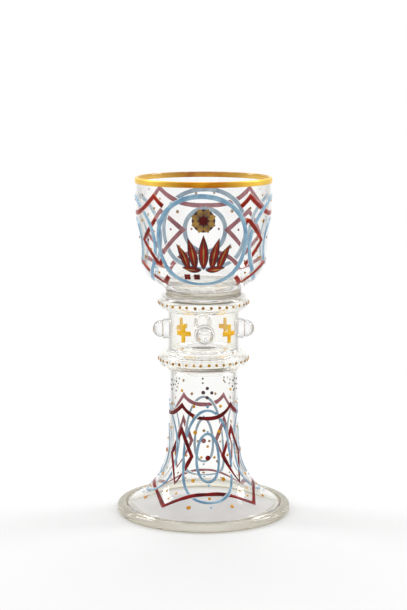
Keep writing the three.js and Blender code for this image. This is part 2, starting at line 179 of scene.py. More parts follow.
def turned(name, outline, material, fused=None, others=(), segments=180, slot="clear_glass"):
    # fused gives 0 for the piece's own material, 1 where it has melted into a neighbour, then the others
    vertices, faces = turnedMesh(held(outline), segments)
    kinds = faceKinds(vertices, faces, fused) if fused else None
    finishPiece(newObject(name, vertices * mm, faces, [material, fusedGlass, *others], kinds), slot, name)


def near(value, target):
    return abs(value - target) < 1e-3


# A skin is the outside of a turned piece. A place on it is (turn, run): the angle from the front in radians,
# and the distance along the outline from its lower end


def makeSkin(line):
    points = np.array(line, float)
    run = np.concatenate([[0], np.cumsum(np.linalg.norm(np.diff(points, axis=0), axis=1))])
    normals = normalsOf(line)
    return {"run": run, "radius": points[:, 0], "height": points[:, 1], "out": normals[:, 0],
            "up": normals[:, 1], "length": run[-1]}


def runAt(skin, height):
    return float(np.interp(height, skin["height"], skin["run"]))


def radiusAt(skin, run):
    return np.interp(run, skin["run"], skin["radius"])


def onSkin(skin, turn, run, lift):  # points in metres, lift millimetres off the skin
    radius = radiusAt(skin, run) + np.interp(run, skin["run"], skin["out"]) * lift
    height = np.interp(run, skin["run"], skin["height"]) + np.interp(run, skin["run"], skin["up"]) * lift
    return np.stack([radius * np.sin(turn), -radius * np.cos(turn), height], axis=-1) * mm


def wrap(turn):
    return (turn + pi) % (2 * pi) - pi


# Materials


def addNode(tree, kind, inputs=None, **settings):  # inputs are plain values, or sockets to link from
    node = tree.nodes.new(kind if kind.startswith("Node") else "ShaderNode" + kind)
    for setting, value in settings.items():
        setattr(node, setting, value)
    for name, value in (inputs or {}).items():
        if isinstance(value, bpy.types.NodeSocket):
            tree.links.new(value, node.inputs[name])
        else:
            node.inputs[name].default_value = (*value, 1) if node.inputs[name].type == "RGBA" else value
    return node


def twoTones(tree, factor, first, second, **settings):
    return addNode(tree, "Mix", {"Factor": factor, "A": first, "B": second}, data_type="RGBA",
                   **settings).outputs["Result"]


def worked(tree, operation, *values):
    return addNode(tree, "Math", dict(enumerate(values)), operation=operation).outputs["Value"]


def mapped(tree, value, fromLow, fromHigh, toLow=0.0, toHigh=1.0):
    return addNode(tree, "MapRange", {"Value": value, "From Min": fromLow, "From Max": fromHigh, "To Min": toLow,
                                      "To Max": toHigh}).outputs["Result"]


def choose(tree, factor, first, second):
    return addNode(tree, "MixShader", {"Fac": factor, 1: first, 2: second}).outputs["Shader"]


def ownPlace(tree):
    return addNode(tree, "TexCoord").outputs["Object"]


def axisOf(tree, vector, axis):
    return addNode(tree, "SeparateXYZ", {"Vector": vector}).outputs[axis]


# Soft unevenness left by the hand: a tone from 0 to 1, and a height for a bump
handMarks = bpy.data.node_groups.new("handMarks", "ShaderNodeTree")
for way, name, kind in (("INPUT", "Scale", "Float"), ("INPUT", "Stretch", "Vector"), ("OUTPUT", "Tone", "Float"),
                        ("OUTPUT", "Height", "Float")):
    handMarks.interface.new_socket(name=name, in_out=way, socket_type="NodeSocket" + kind)
given = addNode(handMarks, "NodeGroupInput").outputs
stretched = addNode(handMarks, "VectorMath", {0: ownPlace(handMarks), 1: given["Stretch"]}, operation="MULTIPLY")
noise = addNode(handMarks, "TexNoise", {"Vector": stretched.outputs["Vector"], "Scale": given["Scale"],
                                        "Detail": 2.0}).outputs["Fac"]
addNode(handMarks, "NodeGroupOutput", {"Tone": mapped(handMarks, noise, 0.35, 0.65), "Height": noise})


def addMarks(tree, scale, stretch):
    return addNode(tree, "Group", {"Scale": scale, "Stretch": stretch}, node_tree=handMarks).outputs


def newMaterial(name):
    material = bpy.data.materials.new(name)
    material.use_nodes = True
    material.node_tree.nodes.clear()
    return material, material.node_tree


def principled(tree, look, marks, inputs):
    bump = addNode(tree, "Bump", {"Height": marks["Height"], "Strength": look["markStrength"],
                                  "Distance": look["markDepth"] * mm}).outputs["Normal"]
    return addNode(tree, "BsdfPrincipled", {"Roughness": look["roughness"], "Normal": bump, **inputs}).outputs["BSDF"]


white = (1.0, 1.0, 1.0)
glassLook = {
    "roughness": 0.0, "ior": 1.5, "edgeBlend": 0.25, "face": (0.993, 0.993, 0.988), "edge": (0.94, 0.935, 0.89),
    "streak": (0.93, 0.88, 0.75), "sheen": 1.0, "shadow": (0.965, 0.965, 0.96), "lostAfter": 13,
    "markScale": 60.0, "markStretch": (1.0, 1.0, 0.6), "markStrength": 0.06, "markDepth": 0.6,
}


def glass(name, **changes):
    look = {**glassLook, **changes}
    material, tree = newMaterial(name)
    edge = addNode(tree, "LayerWeight", {"Blend": look["edgeBlend"]}).outputs["Facing"]
    tint = twoTones(tree, edge, look["face"], look["edge"])
    if "patches" in look:
        tint = twoTones(tree, addMarks(tree, *look["patches"])["Tone"], look["streak"], tint)
    if "low" in look:  # painted shade: darker towards the bottom
        rise = mapped(tree, axisOf(tree, ownPlace(tree), "Z"), 0.0, look["lowTop"])
        tint = twoTones(tree, 1.0, tint, twoTones(tree, rise, look["low"], white), blend_type="MULTIPLY")
    if "inside" in look:  # the tint shows from outside alone
        tint = twoTones(tree, addNode(tree, "NewGeometry").outputs["Backfacing"], tint, look["inside"])
    shader = principled(tree, look, addMarks(tree, look["markScale"], look["markStretch"]), {
        "Base Color": tint, "Transmission Weight": 1.0, "IOR": look["ior"], "Specular Tint": (look["sheen"],) * 3})
    rays = addNode(tree, "LightPath").outputs
    lost = worked(tree, "GREATER_THAN", rays["Ray Depth"], look["lostAfter"])  # caught in the wall, light gets out
    passed = worked(tree, "MAXIMUM", worked(tree, "MAXIMUM", rays["Is Shadow Ray"], rays["Is Diffuse Ray"]), lost)
    clear = addNode(tree, "BsdfTransparent", {"Color": look["shadow"]}).outputs["BSDF"]
    addNode(tree, "OutputMaterial", {"Surface": choose(tree, passed, shader, clear)})
    return material


fusedGlass, tree = newMaterial("fusedGlass")  # where two pieces have run together there is no surface to see
addNode(tree, "OutputMaterial", {"Surface": addNode(tree, "BsdfPrincipled", {
    "Alpha": 0.0, "Base Color": white}).outputs["BSDF"]})
swirl = (90.0, (0.35, 0.35, 13.0))
clearGlass = glass("clearGlass")
stemGlass = glass("stemGlass", face=(0.985, 0.982, 0.965), edge=(0.92, 0.91, 0.83), markStrength=0.03, sheen=0.35)
nippedGlass = glass("nippedGlass", face=(0.92, 0.91, 0.9), edge=(0.75, 0.74, 0.72))
# painted shade: a dark band, broken by pale patches, on the outside of the lower collar under its bulge; from inside
# it is clear
underShadeGlass = glass("underShadeGlass", face=(0.07, 0.066, 0.035), edge=(0.02, 0.018, 0.01), inside=(0.97, 0.97, 0.96),
                   patches=(48.0, (1.0, 1.0, 0.3)))
thickGlass = glass("thickGlass", face=(0.1, 0.085, 0.08), edge=(0.1, 0.085, 0.08), inside=(0.97, 0.97, 0.96))
pruntGlass = glass("pruntGlass", edge=(0.05, 0.044, 0.022), edgeBlend=0.52, inside=(0.985, 0.985, 0.98))
# the plate, low down, gets a grey painted shade
footGlass = glass("footGlass", face=(0.984, 0.984, 0.975), low=(0.94, 0.93, 0.925), lowTop=0.02, sheen=0.06,
                  shadow=(0.93, 0.925, 0.92))
# painted shade: the merese's clear glass is tinted dark, with pale swirled patches, and darker still at its rounded
# edges
mereseGlass = glass("mereseGlass", face=(0.17, 0.15, 0.09), edge=(0.07, 0.06, 0.03), patches=swirl, markScale=90.0,
                    markStretch=(0.35, 0.35, 9.0), markStrength=0.5, markDepth=0.8)
edgeGlass = glass("edgeGlass", face=(0.04, 0.037, 0.02), edge=(0.02, 0.018, 0.01), patches=swirl)
# a dark painted shade along the rim's bottom, where it meets the floor
rimGlass = glass("rimGlass", face=(0.86, 0.81, 0.66), edge=(0.14, 0.11, 0.02), edgeBlend=0.45, low=(0.3, 0.27, 0.21),
                 lowTop=0.002, inside=(0.98, 0.975, 0.95), markScale=80.0, markStretch=(1.0, 1.0, 2.5),
                 markStrength=0.2, shadow=(0.76, 0.75, 0.7))

enamelLook = {"roughness": 0.28, "coat": 0.4, "coatRoughness": 0.08, "sheen": 0.0, "sheenRoughness": 0.3,
              "metallic": 0.0, "gloss": 0.5, "markScale": 160.0, "markStretch": (1.0, 1.0, 1.0),
              "markStrength": 0.3, "markDepth": 0.25}


def enamel(name, deep, pale, **changes):  # its colours are screen colours, 0 to 255
    look = {**enamelLook, **changes}
    material, tree = newMaterial(name)
    marks = addMarks(tree, look["markScale"], look["markStretch"])
    tone = twoTones(tree, marks["Tone"], linear(*deep), linear(*pale))
    if "sides" in look:  # painted highlight: paler towards the left and the right, as where it catches the light at the sides
        across = worked(tree, "ABSOLUTE", axisOf(tree, ownPlace(tree), "X"))
        aside = mapped(tree, across, look["sidesFrom"], look["sidesTo"])
        tone = twoTones(tree, aside, tone, linear(*look["sides"]))
    addNode(tree, "OutputMaterial", {"Surface": principled(tree, look, marks, {
        "Base Color": tone, "Metallic": look["metallic"], "Specular IOR Level": look["gloss"],
        "Coat Weight": look["coat"], "Coat Roughness": look["coatRoughness"],
        "Sheen Weight": look["sheen"], "Sheen Roughness": look["sheenRoughness"]})})
    return material


quiet = {"coat": 0.1, "gloss": 0.12}
dull = {"coat": 0.0, "gloss": 0.2, "roughness": 0.45}
# the gilt band's paler left and right are a painted highlight
gilding = enamel("gilding", (190, 112, 4), (226, 158, 24), roughness=0.32, metallic=0.4, coat=0.0, gloss=0.15,
                 sides=(252, 206, 84), sidesFrom=0.008, sidesTo=0.03, markScale=70.0, markStretch=(1.0, 1.0, 3.0),
                 markStrength=0.25, markDepth=0.4)
blueEnamel = enamel("blueEnamel", (104, 152, 186), (152, 190, 210), sheen=0.5)
redEnamel = enamel("redEnamel", (112, 12, 8), (162, 32, 20), sheen=0.25, **quiet)
amberEnamel = enamel("amberEnamel", (244, 180, 26), (255, 214, 78), **quiet)
goldDots = enamel("goldDots", (146, 96, 2), (206, 148, 18), **dull)
brightDots = enamel("brightDots", (190, 126, 14), (232, 170, 48), **dull)
giltEdge = enamel("giltEdge", (168, 70, 38), (210, 122, 68), coat=0.0, gloss=0.3, roughness=0.4)
darkDots = enamel("darkDots", (40, 6, 10), (64, 14, 18))
footBlueEnamel = enamel("footBlueEnamel", (88, 134, 166), (138, 176, 200), sheen=0.5)
footRedEnamel = enamel("footRedEnamel", (82, 4, 4), (136, 18, 14), sheen=0.12, **quiet)
oldGold = enamel("oldGold", (112, 76, 14), (186, 140, 44))
# Undersides, seen through the glass: paler copies of the paints, partly how enamel looks from the side against the
# glass and partly painted light that makes up for the shade inside the goblet
blueBack = enamel("blueEnamelUnderside", (142, 172, 196), (174, 200, 214))
footBlueBack = enamel("footBlueUnderside", (164, 194, 214), (192, 214, 226))
redBack = enamel("redEnamelUnderside", (144, 56, 64), (176, 96, 104))
footRedBack = enamel("footRedUnderside", (156, 80, 88), (186, 118, 126))
goldBack = enamel("goldDotsUnderside", (176, 134, 80), (200, 164, 112))
darkBack = enamel("darkDotsUnderside", (60, 30, 36), (84, 48, 54))
amberBack = enamel("amberEnamelUnderside", (255, 200, 90), (255, 220, 130), **quiet)
print("materials made")


# Glass pieces, from the foot up

rimShape = {"width": 5.15, "rounds": (1.4, 1.9, 2.5, 2.2)}
rimInner = rimRadius - rimShape["width"]
footShape = {"neckInset": 1.2, "flareLength": 12.35, "wall": 2.0, "plateEdge": 5.0, "stations": 72,
             "grooveDrop": 1.1, "grooveReach": 2.4, "grooveBend": (0.8, 0.55)}
flare = footShape["flareLength"]
neckRadius = drumRadius - footShape["neckInset"]
flareReach = (rimInner - neckRadius) * exp(footShape["plateEdge"] / flare)
lowSlope, highSlope = (atan2(flare, flareReach * exp(-height / flare))
                       for height in (footShape["plateEdge"], footTop))
flareLine = []
for slope in np.linspace(lowSlope, highSlope, footShape["stations"]):
    height = flare * log(flareReach / flare * tan(slope))
    flareLine.append((neckRadius + flareReach * exp(-height / flare), height))
flareInner = offsetLine(flareLine, -footShape["wall"])
flareInner[0] = (rimInner, flareInner[0][1])
flareInner[-1] = (flareInner[-1][0], footTop)
plateBottom = flareInner[0][1]
plateTop = footShape["plateEdge"] - footShape["grooveDrop"]
bendIn, bendUp = footShape["grooveBend"]
grooveBottom = rimTop - rimShape["rounds"][3]
plateLine = [p for p in flareLine if p[0] < rimInner - footShape["grooveReach"]]
turned("trumpet_foot", [
    (rimInner, plateTop), (rimInner - bendIn, plateTop + bendUp), *plateLine, *flareInner[::-1],
    (rimInner, grooveBottom),
], footGlass, lambda r, z, a: near(z, footTop) or (
    r > rimInner - 0.01 and z < grooveBottom), segments=240)

lowIn, lowOut, highOut, highIn = rimShape["rounds"]
turned("foot_rim", roundedLine([
    (rimInner, plateBottom), (rimInner, 0, lowIn), (rimRadius, 0, lowOut), (rimRadius, rimTop, highOut),
    (rimInner, rimTop, highIn),
], 6), rimGlass, lambda r, z, a: r < rimInner + 0.01 and plateBottom < z < grooveBottom, segments=240,
       slot="rim_glass")

collarShape = {"bulge": 5.5, "wall": 1.7, "neck": 0.8, "lowerRise": 4.9, "lowerFall": 5.0, "lowerNeck": 1.1,
               "upperRise": 5.7, "upperFall": 4.6, "firstTurn": -86, "topInset": 0.4, "underShadeFrom": 0.36,
               "underShadeTo": 0.98}
thick = {"halfTurn": 0.75, "reach": 0.86, "rise": 1.1, "halfHeight": 1.3}
drumShape = {"wall": 1.8, "diaphragm": 1.2, "bead": 1.9, "hole": 9.5}
drumInner = drumRadius - drumShape["wall"]
neckInner = flareInner[-1][0]
waferShape = {"lowStep": 0.25, "lowRise": 0.45, "topStep": 0.35, "topFall": 0.5}
turned("joint_wafer", [
    (0, waferBottom), (neckInner, waferBottom), (flareLine[-1][0], waferBottom),
    (flareLine[-1][0] + waferShape["lowStep"], waferBottom + waferShape["lowRise"]),
    (drumRadius - waferShape["topStep"], waferTop - waferShape["topFall"]), (drumRadius, waferTop),
    (drumInner, waferTop), (0, waferTop),
], stemGlass, lambda r, z, a: (near(z, waferBottom) and r > neckInner) or (
    near(z, waferTop) and r > drumInner))


def collarArc(centre, rise, fall, topRadius, steps):
    last = acos((topRadius - drumRadius) / collarShape["bulge"])
    turns = np.linspace(radians(collarShape["firstTurn"]), last, steps)
    return [(drumRadius + collarShape["bulge"] * cos(t),
             centre + (fall if t < 0 else rise) * sin(t)) for t in turns]


lowerCentre = lowerBottom + collarShape["lowerNeck"] + collarShape["lowerFall"]
lowerLine = [
    (drumRadius, lowerBottom),
    *collarArc(lowerCentre, collarShape["lowerRise"], collarShape["lowerFall"], drumRadius + collarShape["topInset"],
               40),
    (drumRadius, drumBottom),
]
lowerOutline = wallOutline(lowerLine, collarShape["wall"])
lowerOutline[-1] = (drumInner, lowerBottom)
lowerOutline[len(lowerLine)] = (drumInner, drumBottom)


def underBulgeShade(r, z):  # the outside of the lower collar below its widest place, where a band of painted shade goes
    outward, down = (r - drumRadius) / collarShape["bulge"], (lowerCentre - z) / collarShape["lowerFall"]
    return r > drumRadius + 0.1 and collarShape["underShadeFrom"] < down < collarShape["underShadeTo"] and hypot(
        outward, down) > 0.9


def thickPlace(r, z, a):  # on the inside, at the back
    aside = (pi - abs(a)) / thick["halfTurn"]
    return r < drumRadius + thick["reach"] * collarShape["bulge"] and aside < 1 and abs(
        z - lowerCentre - thick["rise"]) < thick["halfHeight"] * (1 - aside ** 2)


turned("lower_collar", lowerOutline, stemGlass,
       lambda r, z, a: 1 if near(z, lowerBottom) or near(z, drumBottom) else (
           2 if underBulgeShade(r, z) else 3 * thickPlace(r, z, a)), [underShadeGlass, thickGlass])

discTop = drumBottom + drumShape["diaphragm"]
beadRadius = drumShape["bead"] / 2
beadCentre = (drumShape["hole"] + beadRadius, (drumBottom + discTop) / 2)
turned("stem_diaphragm", [
    (drumInner, drumBottom), (drumInner, discTop),
    *((beadCentre[0] + beadRadius * cos(a), beadCentre[1] + beadRadius * sin(a))
      for a in np.radians(np.arange(35, 330, 12))),
], stemGlass, lambda r, z, a: 1 if r > drumInner - 0.02 else 2 * (
    r < drumShape["hole"] + drumShape["bead"] + 0.1), [nippedGlass])

prunt = {"rise": 0.75, "turn": 1.5, "padRadius": 5.85, "pad": 3.0, "bossRadius": 5.0, "bossLength": 5.8,
         "bossRound": 0.8, "padFrom": 0.3, "padRound": 1.2, "domeFrom": 1.0}
pruntHeight = (drumBottom + drumTop) / 2 + prunt["rise"]
pruntAngles = [radians(prunt["turn"]) + i * quarter for i in range(4)]


def underPrunt(r, z, a):
    across = [drumRadius * sin(a - middle) for middle in pruntAngles if cos(a - middle) > 0]
    return r > drumRadius - 0.05 and any(hypot(x, z - pruntHeight) < prunt["padRadius"] - 0.1 for x in across)


turned("stem_drum", [
    *((drumRadius, height) for height in np.linspace(drumBottom, drumTop, 60)),
    (drumInner, drumTop), (drumInner, discTop), (drumInner, drumBottom),
], stemGlass, lambda r, z, a: near(z, drumBottom) or near(z, drumTop) or underPrunt(
    r, z, a) or (r < drumInner + 0.01 and z < discTop), segments=360)

upperCentre = upperBottom + collarShape["neck"] + collarShape["upperFall"]
mereseShape = {"play": 0.3, "seat": 1.3, "jointInset": 0.9, "lowRound": 2.0, "topRound": 0.85, "edgeReach": 1.6,
               "edgeDrop": 0.35}
mouthOuter = mereseRadius + mereseShape["play"] + collarShape["wall"]
seatBottom = upperTop - mereseShape["seat"]
upperLine = [(drumRadius, drumTop),
             *collarArc(upperCentre, collarShape["upperRise"], collarShape["upperFall"], mouthOuter, 34)]
upperOutline = wallOutline(upperLine, collarShape["wall"])
upperOutline[-1] = (drumInner, drumTop)
seat = len(upperLine)
upperOutline[seat:seat + 1] = [(mereseRadius, upperTop), (mereseRadius, seatBottom)]
turned("upper_collar", [p for k, p in enumerate(upperOutline) if k < seat + 2 or p[1] < seatBottom],
       stemGlass, lambda r, z, a: near(z, drumTop) or (
           r < mereseRadius + 0.01 and z > seatBottom))

jointRadius = mereseRadius - mereseShape["jointInset"]
turned("merese", roundedLine([
    (0, mereseBottom), (mereseRadius, mereseBottom, mereseShape["lowRound"]), (mereseRadius, seatBottom),
    (mereseRadius, upperTop), (mereseRadius, mereseTop, mereseShape["topRound"]), (jointRadius, mereseTop),
    (0, mereseTop),
], 8), mereseGlass, lambda r, z, a: 1 if (near(z, mereseTop) and r < jointRadius) or (
    r > mereseRadius - 0.01 and seatBottom < z < upperTop) else 2 * (
        r > mereseRadius - mereseShape["edgeReach"] and (
            z < seatBottom or z > mereseTop - mereseShape["edgeDrop"])), [edgeGlass])

bowlShape = {"footOverhang": 0.2, "wall": 1.8, "floor": 3.0, "shoulderRise": 9.8, "shoulderInset": 4.4,
             "shoulderRound": 13, "brimDrop": 15.5, "brimRound": 180}
gilt = {"height": 3.3, "thickness": 0.14, "sunk": 0.03}
bowlFoot = mereseRadius + bowlShape["footOverhang"]
wall = bowlShape["wall"]
bowlLine = roundedLine([
    (bowlFoot, bowlBottom),
    (lipRadius - bowlShape["shoulderInset"], bowlBottom + bowlShape["shoulderRise"], bowlShape["shoulderRound"]),
    (lipRadius, lipTop - bowlShape["brimDrop"], bowlShape["brimRound"]),
    (lipRadius, lipTop - wall / 2 - gilt["thickness"]),
], 0.5)
bowlInner = [p for p in offsetLine(bowlLine, -wall) if p[1] > bowlBottom + bowlShape["floor"] + 0.5]
lipCentre = (lipRadius - wall / 2, lipTop - wall / 2 - gilt["thickness"])


def lipArc(radius, first, last):
    return [(lipCentre[0] + radius * cos(a), lipCentre[1] + radius * sin(a))
            for a in np.radians(np.linspace(first, last, 12))]


turned("bowl", [
    (0, bowlBottom), (jointRadius, bowlBottom), *bowlLine, *lipArc(wall / 2, 15, 165), *bowlInner[::-1],
    (bowlFoot - bowlShape["floor"], bowlBottom + bowlShape["floor"]), (0, bowlBottom + bowlShape["floor"] - 0.6),
], clearGlass, lambda r, z, a: near(z, bowlBottom) and r < jointRadius, segments=240)

giltBottom = lipTop - gilt["height"]
turned("gilt_lip_band", [
    *lipArc(wall / 2 - gilt["sunk"], 100, 0), (lipRadius - gilt["sunk"], giltBottom),
    (lipRadius + gilt["thickness"] * 0.6, giltBottom + 0.1), (lipRadius + gilt["thickness"], giltBottom + 0.45),
    *lipArc(wall / 2 + gilt["thickness"], 0, 96),
], gilding, segments=240, slot="gilding")
print("glass turned")


# Prunts: a pad melted on to the drum, and a domed boss on it


def radial(name, outline, angle, fused):  # a turned piece whose axis points out of the drum
    vertices, faces = turnedMesh(outline, 64)
    kinds = faceKinds(vertices, faces, fused)
    x, y, z = vertices.T
    z = np.where(z < 0, np.sqrt(drumRadius ** 2 - x * x), z)  # the back lies on the drum
    c, s = cos(angle), sin(angle)
    vertices = np.stack([x * c + z * s, x * s - z * c, y + pruntHeight], axis=1)
    finishPiece(newObject(name, vertices * mm, faces, [pruntGlass, fusedGlass], kinds), "clear_glass", name)


padFace = drumRadius + prunt["pad"]
domeBottom, bossEnd = padFace + prunt["domeFrom"], padFace + prunt["bossLength"]
seatRadius = prunt["bossRadius"] - prunt["bossRound"]
for side, angle in zip(sides, pruntAngles):
    radial(f"prunt_pad_{side}", [(prunt["padRadius"] * k / 8, -1) for k in range(9)] + roundedLine([
        (prunt["padRadius"], drumRadius + prunt["padFrom"]), (prunt["padRadius"], padFace, prunt["padRound"]),
        (seatRadius, padFace), (0, padFace),
    ], 10), angle, lambda r, z, a: z < 0 or (near(z, padFace) and r < seatRadius))
    dome = [(prunt["bossRadius"] * cos(a), domeBottom + (bossEnd - domeBottom) * sin(a))
            for a in np.radians(np.arange(0, 90, 6))]
    radial(f"prunt_boss_{side}", roundedLine([
        (0, padFace), (prunt["bossRadius"], padFace, prunt["bossRound"]), dome[0],
    ], 6) + dome[1:] + [(0, bossEnd)], angle, lambda r, z, a: near(z, padFace) and r < seatRadius)
print("prunts placed")


# Painted straps: paths are arrays of (turn, run), sampled closely

bowlSkin = makeSkin(bowlLine)
footSkin = makeSkin(flareLine)
drumSkin = makeSkin([(drumRadius, drumBottom), (drumRadius, drumTop)])
lowerSkin = makeSkin(lowerLine[1:-1])
upperSkin = makeSkin(upperLine[1:])


def loopPath(turn, run, halfTurn, halfRun):
    angles = np.linspace(0, 2 * pi, 480, endpoint=False)
    return np.stack([turn + halfTurn * np.sin(angles), run + halfRun * np.cos(angles)], axis=1)


def lozengePath(turn, run, halfTurn, halfRun, longer=0.0):  # its lower point may reach further down
    corners = [(turn, run + halfRun), (turn + halfTurn, run), (turn, run - halfRun - longer), (turn - halfTurn, run)]
    return np.concatenate([np.linspace(a, b, 80, endpoint=False) for a, b in zip(corners, corners[1:] + corners[:1])])


def festoonPath(quarters, pointRun, middleRun):  # its points lie at the diagonals, and it starts at the front
    steps = np.linspace(-1, 1, 300, endpoint=False)
    runs = middleRun + (pointRun - middleRun) * np.abs(steps) ** 2.5
    path = np.concatenate([np.stack([middle + half * steps, runs], axis=1) for middle, half in quarters])
    return np.roll(path, -150, axis=0)


def nearest(skin, places, others):  # how far each place is from the nearest of the others
    apart = places[:, None] - others
    across = wrap(apart[..., 0]) * radiusAt(skin, places[:, 1])[:, None]
    return np.sqrt(across ** 2 + apart[..., 1] ** 2).min(axis=1)


def sidesOf(skin, places, closed):  # unit vector to the left at each place, and its mitre
    steps = np.roll(places, -1, axis=0) - places
    if not closed:
        steps[-1] = steps[-2]
    steps[:, 0] = wrap(steps[:, 0]) * radiusAt(skin, places[:, 1])
    steps /= np.linalg.norm(steps, axis=1)[:, None]
    left = np.stack([-steps[:, 1], steps[:, 0]], axis=1)
    before = np.roll(left, 1, axis=0)
    if not closed:
        before[0] = left[0]
    middle = left + before
    middle /= np.linalg.norm(middle, axis=1)[:, None]
    return middle, 1 / np.clip((middle * left).sum(axis=1), 0.35, 1)


def shownEdges(skin, path, closed, look, cutters):  # where the right edge, the middle and the left edge aren't cut
    left, _ = sidesOf(skin, path, closed)
    aside = np.stack([left[:, 0] / radiusAt(skin, path[:, 1]), left[:, 1]], axis=1) * look["width"] / 2
    shown = []
    for side in (-1, 0, 1):
        free = np.ones(len(path), bool)
        for others, reach, applies in cutters:
            free &= ~((nearest(skin, path + side * aside, others) < reach + look["gap"]) & applies(path))
        shown.append(free)
    return shown


def stretches(mask, closed):  # the unbroken stretches where a mask holds, as lists of indexes
    if mask.all():
        return [list(range(len(mask)))]
    runs = [[]]
    for i in np.roll(np.arange(len(mask)), -int(np.argmin(mask)) if closed else 0).tolist():
        if mask[i]:
            runs[-1].append(i)
        elif runs[-1]:
            runs.append([])
    return [run for run in runs if run]


def strap(name, skin, path, closed, look, cutters=()):
    rng = random.Random(name)
    shown = shownEdges(skin, path, closed, look, cutters)
    whole = closed and shown[1].all()
    vertices, faces, kinds = [], [], []
    for indexes in stretches(shown[1], closed):
        if len(indexes) >= look["fewest"]:
            buildRun(skin, path, indexes, whole, shown, look, rng, vertices, faces, kinds)
    finishPiece(newObject(name, vertices, faces, look["materials"], kinds, 60), look["slot"], name)


def edgeShift(free, here, step, limit=60):  # how many samples an edge ends beyond the middle, or before it
    beyond, moved = free[here], 0
    while moved < limit and free[(here + (step if beyond else -step) * (moved + 1)) % len(free)] == beyond:
        moved += 1
    return 0 if moved == limit else moved if beyond else -(moved + 1)


def keptSamples(along, mitre, whole, look):  # even steps, with each corner and end, and room round the corners
    corners = [i for i in range(len(along)) if mitre[i] > 1.02]
    keep, last = [], -9.0
    for i in range(len(along)):
        isEnd = not whole and i in (0, len(along) - 1)
        nearCorner = any(abs(along[i] - along[c]) < look["width"] * look["cornerRoom"] * mitre[c]
                         for c in corners if c != i)
        if i in corners or isEnd or (along[i] - last >= look["step"] and not nearCorner):
            if isEnd and keep and along[i] - last < look["step"] * 0.4:
                keep.pop()
            keep.append(i)
            last = along[i]
    return keep


def buildRun(skin, path, indexes, whole, shown, look, rng, vertices, faces, kinds):
    places = path[indexes]
    left, mitre = sidesOf(skin, places, whole)
    radius = radiusAt(skin, places[:, 1])
    steps = np.diff(places, axis=0)
    steps[:, 0] = wrap(steps[:, 0]) * radius[:-1]
    along = np.concatenate([[0], np.cumsum(np.linalg.norm(steps, axis=1))])
    total, half, uneven = along[-1], look["width"] / 2, look["uneven"]
    keep = keptSamples(along, mitre, whole, look)
    phases = [rng.uniform(0, 2 * pi) for _ in range(4)]
    tops = look["across"]
    profile = [*np.linspace(-1, 1, tops), *np.linspace(1, -1, 4)]  # over the top and back under it
    ring = len(profile)
    shifts = {}
    if not whole:
        for end, here in ((-1, indexes[0]), (1, indexes[-1])):
            for side in (-1, 1):
                shifts[end, side] = edgeShift(shown[side + 1], here, end) * total / max(len(places) - 1, 1)
    first = len(vertices)
    for i in keep:
        s, ridge, drift, pull = along[i], look["height"], 0, {-1: 0.0, 1: 0.0}
        if whole:
            swell = 1 + uneven * sin(s / total * 10 * pi + phases[0])
        else:
            swell = 1 + uneven * (sin(s / 3.1 + phases[0]) + 0.6 * sin(s / 1.3 + phases[1]))
            drift = uneven * half * (sin(s / 4.7 + phases[2]) + 0.5 * sin(s / 2.1 + phases[3]))
            toEnd = min(1.0, min(s, total - s) / look["endRound"])
            ridge *= 0.25 + 0.75 * sqrt(1 - (1 - toEnd) ** 2)
            for (end, side), shift in shifts.items():
                pull[side] += end * shift * max(0.0, 1 - (s if end < 0 else total - s) / (3.2 * half))
        if "taper" in look:
            swell *= float(np.interp(places[i, 1], *look["taper"]))
        for k, t in enumerate(profile):
            offset = t * half * swell * mitre[i] + drift
            shove = pull[1] * max(t, 0) + pull[-1] * max(-t, 0)
            turn = places[i, 0] + (left[i, 0] * offset + left[i, 1] * shove) / radius[i]
            run = places[i, 1] + left[i, 1] * offset - left[i, 0] * shove
            lift = ridge * max(0.0, 1 - abs(t) ** 2.6) ** 0.5 if k < tops else -look["sunk"]
            vertices.append(tuple(onSkin(skin, turn, run, lift)))
    rings = [first + k * ring for k in range(len(keep))]
    for low, high in zip(rings, rings[1:] + (rings[:1] if whole else [])):
        for k in range(ring):
            n = (k + 1) % ring
            faces.append([low + n, low + k, high + k, high + n])
            isEdge = k in (0, tops - 2) and len(look["materials"]) > 2
            kinds.append(1 if tops <= k < ring - 1 else 2 * isEdge)
    if not whole:
        faces += [list(range(rings[0], rings[0] + ring)), list(reversed(range(rings[-1], rings[-1] + ring)))]
        kinds += [0, 0]


def leftOf(centre):
    return lambda path: wrap(path[:, 0] - centre) < 0


def rightOf(centre):
    return lambda path: wrap(path[:, 0] - centre) > 0


def weave(skin, prefix, loops, festoons, arches, lozenges, looks):
    # Down the left of each loop it goes over, under, over, under the red straps, and down the right the other way
    lozengeMiddle = lozenges[0][1][:, 1].mean()
    upper = np.concatenate([p[p[:, 1] > lozengeMiddle] for _, p, _ in lozenges])
    lower = np.concatenate([p[p[:, 1] < lozengeMiddle] for _, p, _ in lozenges])
    lefts = np.concatenate([p[leftOf(centre)(p)] for _, p, centre in loops])
    rights = np.concatenate([p[rightOf(centre)(p)] for _, p, centre in loops])
    blueHalf, redHalf = looks["blue"]["width"] / 2, looks["red"]["width"] / 2
    for name, path, centre in loops:
        strap(name, skin, path, True, looks["blue"], [
            (np.concatenate([upper, arches]), redHalf, leftOf(centre)),
            (np.concatenate([festoons, lower]), redHalf, rightOf(centre)),
        ])
    for name, path, closed in lozenges:
        strap(name, skin, path, closed, looks["lozenge"], [
            (rights, blueHalf, lambda p: p[:, 1] > lozengeMiddle),
            (lefts, blueHalf, lambda p: p[:, 1] < lozengeMiddle),
        ])
    for name, path, others in (("festoons", festoons, lefts), ("arches", arches, rights)):
        strap(f"{prefix}_{name}", skin, path, looks["bandsClosed"], looks["red"], [(others, blueHalf, lambda p: True)])


def quartersOf(diagonals):  # the middle and half width of each side, from the diagonals between them in degrees
    quarters = []
    for i, after in enumerate(diagonals):
        before = diagonals[i - 1] - (0 if i else 360)
        quarters.append((radians((before + after) / 2), radians((after - before) / 2)))
    return quarters


